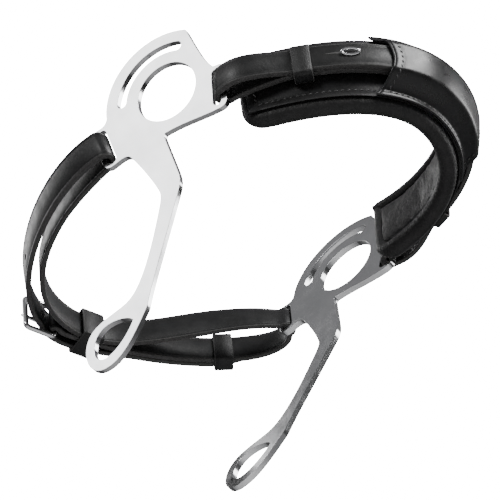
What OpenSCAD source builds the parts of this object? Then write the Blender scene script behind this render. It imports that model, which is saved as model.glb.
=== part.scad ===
// Bitless hackamore: two steel lever shanks joined by a padded noseband in
// front and by a buckled curb strap behind. Millimetres, +Z up the horse's face,
// the noseband towards -Y, the curb strap towards +Y. The origin lies midway
// between the two ring holes.

/* [Shank] */
// Distance between the outer faces of the two plates at the ring holes
ring_spacing = 151.4; // [140:0.2:165]
// Outward lean of each plate towards the top, in degrees
splay = 10.8; // [6:0.2:14]
// Turn of each plate that brings its nose end inwards, in degrees
toe = 3.9; // [1:0.1:6]
// Thickness of the plate
plate_t = 3.2; // [2.6:0.1:4]
// Radius of the round hole that takes the cheekpiece
ring_r = 16; // [14:0.5:17]
// Radius of the rounded head around the hole
head_r = 34; // [33:0.5:35]
// Inward bend of the lever below the head, in degrees
lever_bend = 1.3; // [0:0.1:3]

/* [Slots] */
// Width of the curved adjusting slot above the ring hole
arc_slot_w = 5; // [4:0.2:6]
// Mean radius of the curved adjusting slot
arc_slot_r = 25.2; // [24.5:0.1:26]
// Width of the two strap slots
slot_w = 4.4; // [4:0.1:5]
// Length of the two strap slots
slot_l = 20.5; // [18:0.5:21]
// Width of the metal bar between a strap slot and the plate's end
bar_w = 3.4; // [3:0.1:4]

/* [Straps] */
// Width of the curb strap
strap_w = 16; // [14:0.5:17]
// Width of the two straps on the noseband
billet_w = 14; // [12:0.5:16]
// Thickness of every strap
strap_t = 2.7; // [2.2:0.1:2.9]
// Height of the middle of the straps, measured from the ring holes
strap_z = -12; // [-13:0.2:-11]
// How far the curb strap reaches behind the ring holes
curb_reach = 121; // [110:1:130]

/* [Noseband] */
// Half of the width between the ends of the lower roll
nose_half_w = 55; // [52:0.5:57]
// How far the lower roll reaches in front of the ring holes
nose_reach = 94.4; // [88:0.2:100]
// How far the nose curve sits towards the right
nose_drift = 5.5; // [0:0.5:6]
// Height of the lower roll's centre line
roll_z = -28; // [-29:0.5:-27]
// Radius of the lower roll
roll_r = 4.6; // [4:0.1:5]
// Radius of the upper roll
top_roll_r = 2.6; // [2:0.1:3]
// Height of the pad from the lower roll's centre to the upper roll's centre
pad_h = 36.5; // [34:0.5:40]
// Outward lean of the pad at its sides, in degrees
lean_side = 6; // [2:0.5:10]
// Outward lean of the pad at the front, in degrees
lean_front = 10.5; // [8:0.5:18]

/* [Hidden] */

steel = [0.80, 0.81, 0.83];
leather = [0.10, 0.10, 0.11];
soft_leather = [0.16, 0.16, 0.17];
foam_colour = [0.35, 0.34, 0.32];

gap = 0.3;                       // clearance between neighbouring pieces
slot_tilt = 8;                   // lean of the strap slots within the plate
slot_mid = -12.6;                // height of the strap slots' middle, in the plate
curb_bar = -40.4;                // bar behind the curb slot, along the plate
nose_bar = 29.2;                 // bar in front of the noseband slot
fold_r = norm([plate_t, bar_w]) / 2 + gap + strap_t / 2;   // a strap's fold round its bar
layer = strap_t + 0.25;          // pitch of straps that lie on each other

// ---------------------------------------------------------------- curves

function on_bezier(p, t) = let (u = 1 - t)
    u * u * u * p[0] + 3 * u * u * t * p[1] + 3 * u * t * t * p[2] + t * t * t * p[3];
function bezier(p, n) = [for (i = [0:n]) on_bezier(p, i / n)];
function arc(c, r, from, to, n) = [for (i = [0:n]) let (a = from + (to - from) * i / n)
    [c.x + r * cos(a), c.y + r * sin(a)]];
function tail(list, from = 1) = [for (i = [from:len(list) - 1]) list[i]];
function reversed(list) = [for (i = [len(list) - 1:-1:0]) list[i]];
function unit(v) = v / norm(v);
// Direction along a list of points at point i
function along(p, i) = unit(p[min(i + 1, len(p) - 1)] - p[max(i - 1, 0)]);
// Left-hand side of the direction of travel
function side(p, i) = let (d = along(p, i)) [-d.y, d.x];

function mix(a, b, t) = a * (1 - t) + b * t;

// Solid between k + 1 rings of m points each, ring after ring
module rings(points, m, k) {
    walls = [for (i = [0:k - 1], j = [0:m - 1]) let (q = (j + 1) % m)
        each [[i * m + j, (i + 1) * m + q, i * m + q], [i * m + j, (i + 1) * m + j, (i + 1) * m + q]]];
    polyhedron(points, concat(walls,
        [[for (j = [0:m - 1]) j], [for (j = [m - 1:-1:0]) k * m + j]]));
}

// Flat strap along stations, each a pair of a middle point and the width's direction
module strap(stations, width = strap_w) {
    mid = [for (s = stations) [s[0].x, s[0].y]];
    rings([for (i = [0:len(stations) - 1], c = [[1, 1], [-1, 1], [-1, -1], [1, -1]])
        let (n = side(mid, i), u = unit(stations[i][1]))
        stations[i][0] + c.x * strap_t / 2 * [n.x, n.y, 0] + c.y * width / 2 * u],
        4, len(stations) - 1);
}

// ---------------------------------------------------------------- shanks

// From a plate lying flat (X forward, Y up, Z outward) to the left side
module left_side() {
    translate([-ring_spacing / 2, 0, 0]) rotate([0, 0, toe]) rotate([0, -splay, 0])
        rotate([90, 0, -90]) children();
}
module right_side() { mirror([1, 0, 0]) left_side() children(); }

// Directions of the left plate: forward, up along the plate, and outward
forward = [sin(toe), -cos(toe), 0];
upward = [-sin(splay) * cos(toe), -sin(splay) * sin(toe), cos(splay)];
outward = [-cos(splay) * cos(toe), -cos(splay) * sin(toe), -sin(splay)];
// A point of the left plate's middle layer
function on_left(a, b) = [-ring_spacing / 2, 0, 0] + a * forward + b * upward
    - plate_t / 2 * outward;
// The same on either side: s is -1 on the left and 1 on the right
function flipped(v, s) = [-s * v.x, v.y, v.z];

curb_pivot = on_left(curb_bar, slot_mid);
nose_pivot = on_left(nose_bar, slot_mid);

// Outline of head and lever in one run, from the top of the head backwards and down
plate_outline = concat(
    arc([0, 0], head_r, 61, 173, 20),
    bezier([[-33.7, 3.5], [-34, 1], [-36, -0.6], [-38.5, -0.6]], 5),
    arc([-39.8, -4.2], 3.6, 90, 180, 4),
    arc([-37.1, -21.2], 3.6, 190, 275, 4),
    bezier([[-33.5, -24.2], [-30, -23.2], [-27.5, -23.2], [-26, -25]], 5),
    tail(bezier([[-26, -25], [-23.4, -29.5], [-17.2, -44], [-15.2, -52]], 6)),
    bezier([[-14.9, -53.4], [-14.8, -55.4], [-15.4, -57.6], [-16.6, -60.4]], 4),
    tail(bezier([[-16.6, -60.4], [-22.5, -74], [-32.5, -96], [-41.6, -101]], 10)),
    tail(bezier([[-41.6, -101], [-45.4, -103.6], [-54, -103.4], [-61.6, -106.8]], 6)),
    tail(bezier([[-61.6, -106.8], [-67, -109.4], [-69.5, -115], [-69.5, -120.4]], 6)),
    tail(bezier([[-69.5, -120.4], [-69.5, -126], [-66.3, -130.4], [-61, -130.5]], 6)),
    tail(bezier([[-61, -130.5], [-51.5, -130.7], [-43.5, -121.4], [-35, -111.4]], 8)),
    tail(bezier([[-35, -111.4], [-33.6, -109.8], [-33.2, -109], [-32.6, -107.4]], 3)),
    tail(bezier([[-32.6, -107.4], [-28, -97], [-12, -70], [-4.8, -56.4]], 10)),
    tail(bezier([[-4.8, -56.4], [-3.4, -53.4], [-3.1, -51], [-3.3, -48]], 4)),
    tail(bezier([[-3.3, -48], [-4, -41], [-5.7, -31], [-6.4, -23.8]], 5)),
    bezier([[-5.6, -22.6], [4, -22.2], [14, -24.9], [24, -25.2]], 6),
    arc([25.5, -21.2], 4, -90, 0, 4),
    arc([28.4, -4.2], 4, 0, 95, 4),
    bezier([[26, 0.2], [22, 5.5], [19.6, 17], [17, 28.2]], 5));

rein_opening = concat(
    bezier([[-42, -112.6], [-44, -109.6], [-50, -107.9], [-55, -108.4]], 6),
    bezier([[-55, -108.4], [-61, -109], [-64.7, -114.2], [-64.8, -119.6]], 6),
    bezier([[-64.8, -119.6], [-65, -123], [-62.6, -125.2], [-59.6, -125.1]], 6),
    bezier([[-59.6, -125.1], [-52.6, -124.4], [-45, -117], [-42, -112.6]], 8));

cut = plate_t + 10;               // depth of every opening's tool
foot_y = -140;                   // below the plate's lowest point

module strap_slot(a, tilt) {
    translate([a, slot_mid, -plate_t / 2]) rotate([0, 0, tilt]) {
        cube([slot_w, slot_l - slot_w, cut], center = true);
        for (s = [-1, 1]) translate([0, s * (slot_l - slot_w) / 2, 0])
            cylinder(h = cut, d = slot_w, center = true, $fn = 32);
    }
}

// Sheet of the plate's thickness, flat behind the head and bent inwards along the lever
module bent_sheet() {
    bend_at = -26;
    drop = (foot_y - bend_at) * tan(lever_bend);
    translate([-head_r * 3, 0, 0]) rotate([90, 0, 90]) linear_extrude(head_r * 6)
        polygon([[head_r + 5, 0], [bend_at, 0], [foot_y, drop], [foot_y, drop - plate_t],
            [bend_at, -plate_t], [head_r + 5, -plate_t]]);
}

module plate() {
    slot_off = (bar_w + slot_w) / 2;
    below = -plate_t - 5;
    difference() {
        intersection() {
            translate([0, 0, below]) linear_extrude(cut) polygon(plate_outline);
            bent_sheet();
        }
        translate([0, 0, below]) cylinder(h = cut, r = ring_r, $fn = 96);
        rotate([0, 0, 66]) translate([0, 0, below]) rotate_extrude(angle = 98, $fn = 96)
            translate([arc_slot_r - arc_slot_w / 2, 0]) square([arc_slot_w, cut]);
        for (a = [66, 164]) rotate([0, 0, a]) translate([arc_slot_r, 0, below])
            cylinder(h = cut, d = arc_slot_w, $fn = 32);
        strap_slot(curb_bar + slot_off, slot_tilt);
        strap_slot(nose_bar - slot_off, -slot_tilt);
        translate([0, 0, below]) linear_extrude(cut) polygon(rein_opening);
    }
}

module shank_left() { color(steel) left_side() plate(); }
module shank_right() { color(steel) right_side() plate(); }

// ---------------------------------------------------------------- noseband

// Plan curve of the lower roll. Station 0 is its left end, nose_n the nose, 2 nose_n its right end
nose_n = 14;
function nose_half(side) = [[side * nose_half_w, -31],
    [side * (nose_half_w - 4.5) + nose_drift, -61],
    [side * 32 + nose_drift, -nose_reach], [nose_drift / 2, -nose_reach]];
function nose_at(i) = i <= nose_n ? on_bezier(nose_half(-1), i / nose_n)
    : on_bezier(nose_half(1), 2 - i / nose_n);
// Outward normal at station i, and the lean of the pad there
function nose_out(i) = let (d = unit(nose_at(i + 0.01) - nose_at(i - 0.01))) [d.y, -d.x];
function nose_lean(i) = let (f = nose_out(i).y) lean_side + (lean_front - lean_side) * f * f;
// A point a mm outwards and b mm up from the lower roll's centre at station i
function pad_point(i, a, b) = let (n = nose_out(i), q = nose_lean(i),
        o = a * cos(q) + b * sin(q), c = nose_at(i) + o * n)
    [c.x, c.y, roll_z + b * cos(q) - a * sin(q)];

// Solid that carries the section along the stations from first to last
module pad_sweep(section, first = 0, last = 2 * nose_n, steps = 2 * nose_n) {
    rings([for (k = [0:steps], s = section) pad_point(mix(first, last, k / steps), s.x, s.y)],
        len(section), steps);
}

shell_in = 2.6;                  // inner face of the shell, outwards from the roll's centre
shell_out = shell_in + 2.2;      // outer face of the shell
lining_in = -3.6;                // face of the lining on the nose
lining_out = lining_in + 1.2;
edge_low = roll_r + 0.4;         // lower edge of the foam and the lining
flange = roll_r + 0.5;           // inner face of the shell where it comes down outside the roll
lip_b = 0.5;                     // lower edge of the shell
edge_top = pad_h - top_roll_r - 0.4;

module noseband_shell() {
    color(leather) pad_sweep([[flange, lip_b], [shell_in + gap * 2, edge_low + 0.4],
        [shell_in, edge_low + 2], [shell_in, pad_h + 1], [shell_out, pad_h + 1],
        [shell_out + 0.6, pad_h / 2], [shell_out + 0.8, edge_low + 1], [flange + 1.7, lip_b]]);
}
module noseband_foam() {
    color(foam_colour) pad_sweep([[lining_out + gap, edge_low], [lining_out + gap, edge_top],
        [shell_in - gap, edge_top], [shell_in - gap, edge_low]]);
}
module noseband_lining() {
    color(soft_leather) pad_sweep([[lining_in, edge_low], [lining_in - 0.8, pad_h / 2],
        [lining_in, edge_top], [lining_out, edge_top], [lining_out, edge_low]]);
}
module edge_roll() {
    color(soft_leather) {
        pad_sweep(reversed(arc([0, 0], roll_r, 0, 330, 11)));
        pad_sweep(reversed(arc([-1, pad_h], top_roll_r, 0, 315, 7)));
    }
}

// Straps on the pad: the keeper's inner wall lies under the inner layer
keeper_t = 1.2;                  // thickness of the keepers' leather
under = shell_out + 0.6 + gap + keeper_t + 0.15 + strap_t / 2;
over = under + layer;
strap_b = 20.5;                  // height of the straps' middle on the pad
cover_n = 5.2;                   // stations from the nose to the cover's end

module nose_cover() {
    foot = shell_out + 0.6 + gap;
    roof = over + strap_t / 2 + gap;
    low = strap_b - billet_w / 2;
    high = strap_b + billet_w / 2;
    skin = 1.4;
    lip_a = flange + 1.7 + gap;
    color(leather) pad_sweep([[lip_a, lip_b + 0.4], [foot + 0.2, edge_low + 1.4],
        [foot + 0.4, low - 2.5], [roof, low - 0.8], [roof, high + 0.8], [foot + 0.4, high + 2.5],
        [foot, pad_h + 1], [foot + skin / 2, pad_h + 1.4],
        [roof + 0.6, high + 2.8], [roof + skin, high], [roof + skin + 0.6, strap_b],
        [roof + skin, low], [roof + 0.6, low - 2.8], [foot + skin + 0.4, edge_low + 1.4],
        [lip_a + skin, lip_b + 0.4]],
        nose_n - cover_n, nose_n + cover_n, 14);
}

// ---------------------------------------------------------------- billets

// Station k steps in from the end of the pad on side s
function pad_at(s, k) = s < 0 ? k : 2 * nose_n - k;
function pad_up(i) = let (n = nose_out(i), q = nose_lean(i)) [n.x * sin(q), n.y * sin(q), cos(q)];
function on_pad(s, k, a) = [pad_point(pad_at(s, k), a, strap_b), pad_up(pad_at(s, k))];
// Stations of a smooth run between two stations, bulging by the two inner points
function run(from, to, c1, c2, n) = let (p = bezier([from[0], c1, c2, to[0]], n))
    [for (i = [0:n]) [p[i], mix(unit(from[1]), unit(to[1]), i / n)]];
// Fold round a bar: from the outside to the inside, on the side where way points
function fold(bar, up, s, way, n = 8) = [for (i = [0:n]) let (q = 180 * i / n)
    [flipped(bar + fold_r * (cos(q) * unit([outward.x, outward.y, 0]) + way * sin(q) * forward), s),
        flipped(up, s)]];

nose_up = sin(slot_tilt) * forward + cos(slot_tilt) * upward;
curb_up = -sin(slot_tilt) * forward + cos(slot_tilt) * upward;
join_k = 3.3;                    // station where both layers come to lie on the pad
tip_k = 11;                      // both layers end under the cover

function billet(s) = let (
        f = fold(nose_pivot, nose_up, s, -1),
        first = on_pad(s, join_k, over), last = on_pad(s, join_k, under))
    concat([for (k = [tip_k:-1:4]) on_pad(s, k, over)],
        run(first, f[0], first[0] + [s * 6, 9, 0], f[0][0] + [s * 2.4, -11, 0], 7),
        tail(f),
        tail(run(f[len(f) - 1], last, f[len(f) - 1][0] + [0, -6, 0], last[0] + [s * 3, 6, 0], 6)),
        [for (k = [4:tip_k]) on_pad(s, k, under)]);

keeper_k = [3.45, 4.75];          // stations of the fixed keepers' two edges
stud_k = 7.1;                    // station of the hook studs

module billet_strap(s) {
    difference() {
        strap(billet(s), billet_w);
        stud_place(s) cube([9.4, 3.4, 30], center = true);
    }
}
// Middle of the outer layer at the stud: X along the strap, Z outwards
module stud_place(s) {
    i = pad_at(s, stud_k);
    n = nose_out(i);
    translate(pad_point(i, over, strap_b)) rotate([0, 0, atan2(n.y, n.x)])
        rotate([0, 90 + nose_lean(i), 0]) rotate([0, 0, 90]) children();
}
module billet_keeper(s) {
    ends = [for (k = keeper_k) pad_at(s, k)];
    low = under - strap_t / 2 - 0.2;
    high = over + strap_t / 2 + 0.2;
    foot = strap_b - billet_w / 2 - 2;
    head = strap_b + billet_w / 2 + 0.5;
    wall = keeper_t;
    difference() {
        pad_sweep([[low - wall, foot - wall], [low - wall, head + wall],
            [high + wall, head + wall], [high + wall, foot - wall]], min(ends), max(ends), 2);
        pad_sweep([[low, foot], [low, head], [high, head], [high, foot]],
            min(ends) - 0.5, max(ends) + 0.5, 4);
    }
}
// Post with a foot under the inner layer and an open hook over the outer one
module hook_stud(s) {
    post_r = 1.2;
    top = strap_t / 2 + 1.1;
    below = layer + strap_t / 2 + 1;
    stud_place(s) {
        translate([2, 0, -below]) cylinder(h = below + top, r = post_r, $fn = 32);
        translate([2, 0, -below - 0.4]) cylinder(h = 1, r = 3.2, $fn = 32);
        translate([0, 0, top]) {
            for (x = [-2.4, 2.4]) translate([x, 0, 0])
                cylinder(h = 1.4, r = 2.6, center = true, $fn = 32);
            difference() {
                cube([4.8, 5.2, 1.4], center = true);
                cube([5, 2.2, 2], center = true);
            }
        }
    }
}

module billet_left() { color(leather) billet_strap(-1); }
module billet_right() { color(leather) billet_strap(1); }
module billet_keeper_left() { color(leather) billet_keeper(-1); }
module billet_keeper_right() { color(leather) billet_keeper(1); }
module hook_stud_left() { color(steel) hook_stud(-1); }
module hook_stud_right() { color(steel) hook_stud(1); }

// ---------------------------------------------------------------- curb strap

rear = curb_reach;               // middle line of the inner run at its rearmost
pin = [-1, rear + 7, strap_z];    // hinge bar of the buckle
pin_r = 1.4;                     // radius of the buckle's bars
pin_fold = pin_r + gap + strap_t / 2;
vertical = [0, 0, 1];

left_fold = fold(curb_pivot, curb_up, -1, 1);
right_fold = fold(curb_pivot, curb_up, 1, 1);
fold_n = len(left_fold) - 1;

// Stations of a run whose width turns upright within its first third
function to_upright(from, c1, c2, to, n) = let (p = bezier([from[0], c1, c2, to], n))
    [for (i = [0:n]) [p[i], mix(unit(from[1]), vertical, min(1, 3 * i / n))]];

// The same, but its width turns upright only near the end
function leaning(from, c1, c2, to, n) = let (p = bezier([from[0], c1, c2, to], n))
    [for (i = [0:n]) [p[i], mix(unit(from[1]), vertical, min(1, 1.15 * pow(i / n, 2)))]];

inner_left = to_upright(left_fold[fold_n], [-63, rear - 49, strap_z], [-42, rear, strap_z],
    [-4, rear, strap_z], 14);
inner_right = to_upright(right_fold[fold_n], [40, rear - 52, strap_z], [38, rear, strap_z],
    [-4, rear, strap_z], 14);
outer_right = to_upright(right_fold[0], [96, rear - 66, strap_z], [48, rear - 13, strap_z],
    [pin.x + 3, pin.y - pin_fold, strap_z], 16);
outer_left = leaning(left_fold[0], [-77.5, rear - 46, strap_z], [-42.5, rear + 3.4, strap_z],
    [pin.x - 9, rear + 8.9, strap_z], 14);
// The free end lies on the outer run and stops short of the right shank
lap = [for (s = outer_right) [s[0].x, s[0].y]];
lap_from = 12;
lap_to = 5;
on_lap = [for (i = [lap_from:-1:lap_to]) let (p = lap[i] + layer * -side(lap, i))
    [[p.x, p.y, strap_z], vertical]];
over_pin = [for (p = bezier([outer_left[14][0], [7, rear + 15.8, strap_z],
    on_lap[0][0] + [-11, 8.6, 0], on_lap[0][0]], 8)) [p, vertical]];
pin_wrap = [for (q = [180:30:270]) [pin + pin_fold * [cos(q), sin(q), 0], vertical]];

curb_path = concat(pin_wrap, reversed(outer_right), tail(right_fold), tail(inner_right),
    tail(reversed(inner_left)), tail(reversed(left_fold)), tail(outer_left),
    tail(over_pin), tail(on_lap));

// ---------------------------------------------------------------- buckle

bar_r = 1.4;                     // radius of the frame's other bars
eye = strap_w + 1.6;             // clear height inside the frame
frame_l = 16.3;                  // from the hinge bar to the bar that the tongue rests on
frame_turn = 158.0;              // direction of the frame, seen from above
frame_h = eye + 2 * bar_r;       // between the middles of the two side bars
tongue_hole = 3.2;               // height of the openings that the tongue goes through

// From X along the frame and Y inwards to the buckle's place
module at_pin() { translate(pin) rotate([0, 0, frame_turn]) children(); }

module curb_strap() {
    color(leather) difference() {
        strap(curb_path);
        at_pin() translate([-3.2, -6.4, -tongue_hole / 2]) cube([16, 11, tongue_hole]);
        for (x = [-30, -44]) hole_in_tail(x);
    }
}
// Round hole for the tongue, through the strap's outer run near the given X
module hole_in_tail(x) {
    near = [for (s = outer_left) if (abs(s[0].x - x) < 5) s[0]][0];
    translate(near) rotate([90, 0, 35]) cylinder(h = 6, d = 3.4, center = true, $fn = 24);
}

module buckle_frame() {
    color(steel) at_pin() {
        translate([0, 0, -frame_h / 2]) cylinder(h = frame_h, r = pin_r, $fn = 32);
        translate([frame_l, 0, -frame_h / 2]) cylinder(h = frame_h, r = bar_r, $fn = 32);
        for (z = [-1, 1] * frame_h / 2) translate([0, 0, z]) {
            rotate([0, 90, 0]) cylinder(h = frame_l, r = bar_r, $fn = 32);
            for (x = [0, frame_l]) translate([x, 0, 0]) sphere(r = bar_r, $fn = 32);
        }
    }
}
module buckle_tongue() {
    wall = 1;
    play = 0.08;
    prong_r = 1;
    start = [0, -pin_r - play - prong_r, 0];
    finish = [frame_l + 1, -bar_r - prong_r - play, 0];
    color(steel) at_pin() {
        difference() {
            cylinder(h = 2.2, r = pin_r + play + wall, center = true, $fn = 48);
            cylinder(h = 4, r = pin_r + play, center = true, $fn = 48);
        }
        translate(start) rotate([0, 90, atan2(finish.y - start.y, finish.x - start.x)]) {
            cylinder(h = norm(finish - start), r1 = prong_r, r2 = prong_r * 0.8, $fn = 24);
            translate([0, 0, norm(finish - start)]) sphere(r = prong_r * 0.8, $fn = 24);
        }
    }
}

// Closed loop of leather round the curb strap's layers
module curb_keeper(at, turn, inner_t, band_w) {
    wall = keeper_t;
    inner_h = strap_w + 0.8;
    translate(at) rotate([0, 0, turn]) difference() {
        cube([band_w, inner_t + 2 * wall, inner_h + 2 * wall], center = true);
        cube([band_w + 1, inner_t, inner_h], center = true);
    }
}
module curb_keeper_fixed() {
    color(leather) curb_keeper([15.5, 120.6, strap_z], -22, 14, 12);
}
running_k = 7;                   // station of the running keeper on the outer run
module curb_keeper_running() {
    p = lap[running_k] - layer / 2 * side(lap, running_k);
    d = along(lap, running_k);
    color(leather) curb_keeper([p.x, p.y, strap_z], atan2(d.y, d.x), layer + strap_t + 1.4, 9.5);
}

shank_left();
shank_right();
noseband_shell();
noseband_foam();
noseband_lining();
edge_roll();
nose_cover();
billet_left();
billet_right();
billet_keeper_left();
billet_keeper_right();
hook_stud_left();
hook_stud_right();
curb_strap();
curb_keeper_fixed();
curb_keeper_running();
buckle_frame();
buckle_tongue();
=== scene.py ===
import math
import bmesh
import bpy
from mathutils import Matrix, Vector, noise


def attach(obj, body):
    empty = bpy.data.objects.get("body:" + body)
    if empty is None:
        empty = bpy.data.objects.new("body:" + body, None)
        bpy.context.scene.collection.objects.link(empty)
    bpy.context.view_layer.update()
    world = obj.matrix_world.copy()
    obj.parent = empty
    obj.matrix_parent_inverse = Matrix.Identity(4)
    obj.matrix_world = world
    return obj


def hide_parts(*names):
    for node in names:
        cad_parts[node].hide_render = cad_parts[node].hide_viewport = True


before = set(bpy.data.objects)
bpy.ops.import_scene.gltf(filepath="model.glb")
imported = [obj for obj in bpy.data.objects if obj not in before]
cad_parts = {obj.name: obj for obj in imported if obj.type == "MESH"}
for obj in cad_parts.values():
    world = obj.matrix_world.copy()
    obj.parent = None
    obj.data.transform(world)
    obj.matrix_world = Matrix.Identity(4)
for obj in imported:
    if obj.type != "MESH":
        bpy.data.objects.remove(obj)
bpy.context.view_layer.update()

MM = 0.001
V = Vector
UP = V((0, 0, 1))

# ------------------------------------------------------------------ camera

CAMERA_AT = V((-0.91877, -0.54341, -1.19187))
LOOKING = V((0.584038, 0.352089, 0.731679)).normalized()
RIGHT = V((0.58650, -0.80549, -0.08485))
LENS_MM = 236.7
SENSOR_MM = 36
FAR_CLIP = 50


def make_camera():
    camera = bpy.data.objects.new("camera", bpy.data.cameras.new("camera"))
    bpy.context.collection.objects.link(camera)
    camera.data.lens = LENS_MM
    camera.data.sensor_width = SENSOR_MM
    camera.data.clip_end = FAR_CLIP
    right = (RIGHT - RIGHT.dot(LOOKING) * LOOKING).normalized()
    up = right.cross(LOOKING)
    camera.matrix_world = Matrix.Translation(CAMERA_AT) @ Matrix(
        (right, up, -LOOKING)).transposed().to_4x4()
    bpy.context.scene.camera = camera


make_camera()

# ------------------------------------------------------------------ light

CENTRE = V((0, 0.02, -0.03))

# Name, direction from the object, distance, size and radiance of each soft panel
PANELS = (
    ("panel_left", (-0.853, 0.254, 0.457), 1.5, (0.58, 0.58), 3.4),
    ("panel_front", (-0.15, -0.85, 0.5), 1.4, (0.7, 0.5), 18.0),
    ("panel_back", (0.04, 0.72, 0.69), 1.6, (0.9, 0.5), 3.5),
    ("panel_right", (0.66, -0.68, 0.34), 1.5, (0.9, 0.6), 7.0),
    ("panel_low", (-0.95, -0.12, 0.33), 1.5, (0.4, 0.35), 12.0),
    ("panel_top", (-0.29, 0.532, 0.813), 1.5, (0.40, 0.30), 1.3),
)

# The backdrop that only the camera sees, and the room that lights and reflects in the object
BACKDROP_STRENGTH = 24.0
ROOM_BELOW = (0.05, 0.05, 0.052, 1)
ROOM_ABOVE = (0.22, 0.22, 0.226, 1)
ROOM_LEVELS = ((0.40, 0.05), (0.52, 0.10), (0.70, 0.20), (0.86, 0.20))


def area_light(name, direction, distance, size, radiance):
    """A soft panel that faces the object, of the given radiance."""
    data = bpy.data.lights.new(name, "AREA")
    data.shape = "RECTANGLE"
    data.size, data.size_y = size
    data.energy = radiance * math.pi * size[0] * size[1]
    lamp = bpy.data.objects.new(name, data)
    bpy.context.collection.objects.link(lamp)
    way = V(direction).normalized()
    lamp.location = CENTRE + distance * way
    lamp.rotation_euler = (-way).to_track_quat("-Z", "Y").to_euler()


for panel in PANELS:
    area_light(*panel)


def make_world():
    world = bpy.data.worlds.new("studio")
    bpy.context.scene.world = world
    world.use_nodes = True
    tree = world.node_tree
    tree.nodes.clear()
    out = tree.nodes.new("ShaderNodeOutputWorld")
    mix = tree.nodes.new("ShaderNodeMixShader")
    path = tree.nodes.new("ShaderNodeLightPath")
    seen = tree.nodes.new("ShaderNodeBackground")
    seen.inputs[0].default_value = (1, 1, 1, 1)
    seen.inputs[1].default_value = BACKDROP_STRENGTH
    room = tree.nodes.new("ShaderNodeBackground")
    place = tree.nodes.new("ShaderNodeTexCoord")
    parts = tree.nodes.new("ShaderNodeSeparateXYZ")
    ramp = tree.nodes.new("ShaderNodeValToRGB")
    half = tree.nodes.new("ShaderNodeMapRange")
    half.inputs["From Min"].default_value = -1
    tree.links.new(place.outputs["Generated"], parts.inputs[0])
    tree.links.new(parts.outputs["Z"], half.inputs["Value"])
    tree.links.new(half.outputs["Result"], ramp.inputs[0])
    stops = ramp.color_ramp
    stops.elements[0].position = 0.0
    stops.elements[0].color = ROOM_BELOW
    stops.elements[1].position = 1.0
    stops.elements[1].color = ROOM_ABOVE
    for at, level in ROOM_LEVELS:
        stops.elements.new(at).color = (level, level, level * 1.02, 1)
    tree.links.new(ramp.outputs[0], room.inputs[0])
    tree.links.new(path.outputs["Is Camera Ray"], mix.inputs[0])
    tree.links.new(room.outputs[0], mix.inputs[1])
    tree.links.new(seen.outputs[0], mix.inputs[2])
    tree.links.new(mix.outputs[0], out.inputs[0])


make_world()

# ------------------------------------------------------------------ materials


class Paint:
    """A node material that is built a step at a time. Sizes are in metres on the object."""

    def __init__(self, name, base, roughness, metallic=0.0):
        self.mat = bpy.data.materials.new(name)
        self.mat.use_nodes = True
        self.tree = self.mat.node_tree
        self.shader = self.tree.nodes["Principled BSDF"]
        self.shader.inputs["Base Color"].default_value = (*base, 1)
        self.shader.inputs["Roughness"].default_value = roughness
        self.shader.inputs["Metallic"].default_value = metallic
        self.place = self.tree.nodes.new("ShaderNodeTexCoord").outputs["Object"]
        self.normal = None

    def node(self, kind, **values):
        made = self.tree.nodes.new(kind)
        for key, value in values.items():
            made.inputs[key].default_value = value
        return made

    def link(self, a, b):
        self.tree.links.new(a, b)

    def stretched(self, scale):
        mapped = self.node("ShaderNodeMapping", Scale=scale)
        self.link(self.place, mapped.inputs[0])
        return mapped.outputs[0]

    def noise(self, scale, detail=3.0, rough=0.55, place=None):
        made = self.node("ShaderNodeTexNoise", Scale=scale, Detail=detail, Roughness=rough)
        self.link(place or self.place, made.inputs["Vector"])
        return made.outputs[0]

    def cells(self, scale, feature="F1"):
        made = self.node("ShaderNodeTexVoronoi", Scale=scale)
        made.feature = feature
        self.link(self.place, made.inputs["Vector"])
        return made.outputs["Distance"]

    def spread(self, value, low, high, start=0.3, end=0.7):
        made = self.node("ShaderNodeMapRange")
        made.inputs["From Min"].default_value = start
        made.inputs["From Max"].default_value = end
        made.inputs["To Min"].default_value = low
        made.inputs["To Max"].default_value = high
        self.link(value, made.inputs["Value"])
        return made.outputs["Result"]

    def roughness(self, value, low, high):
        self.link(self.spread(value, low, high), self.shader.inputs["Roughness"])

    def colour(self, value, dark, light):
        ramp = self.node("ShaderNodeValToRGB")
        ramp.color_ramp.elements[0].position = 0.3
        ramp.color_ramp.elements[1].position = 0.72
        ramp.color_ramp.elements[0].color = (*dark, 1)
        ramp.color_ramp.elements[1].color = (*light, 1)
        self.link(value, ramp.inputs[0])
        self.link(ramp.outputs[0], self.shader.inputs["Base Color"])

    def bump(self, height, depth, strength=1.0):
        made = self.node("ShaderNodeBump", Strength=strength, Distance=depth)
        self.link(height, made.inputs["Height"])
        if self.normal:
            self.link(self.normal, made.inputs["Normal"])
        self.normal = made.outputs[0]
        self.link(self.normal, self.shader.inputs["Normal"])

    def set(self, **values):
        for key, value in values.items():
            self.shader.inputs[key.replace("_", " ")].default_value = value


def polished_steel():
    paint = Paint("polished_steel", (0.82, 0.825, 0.84), 0.10, 1.0)
    clouds = paint.noise(45, 5, 0.6)
    paint.colour(clouds, (0.72, 0.725, 0.735), (0.90, 0.905, 0.915))
    paint.roughness(paint.noise(140, 4), 0.09, 0.20)
    scratches = paint.noise(900, 3, 0.6, paint.stretched((1.0, 1.0, 0.05)))
    paint.bump(scratches, 0.00002, 0.5)
    paint.bump(paint.noise(28, 2), 0.0005, 0.30)
    paint.set(Anisotropic=0.3)
    return paint.mat


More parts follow.
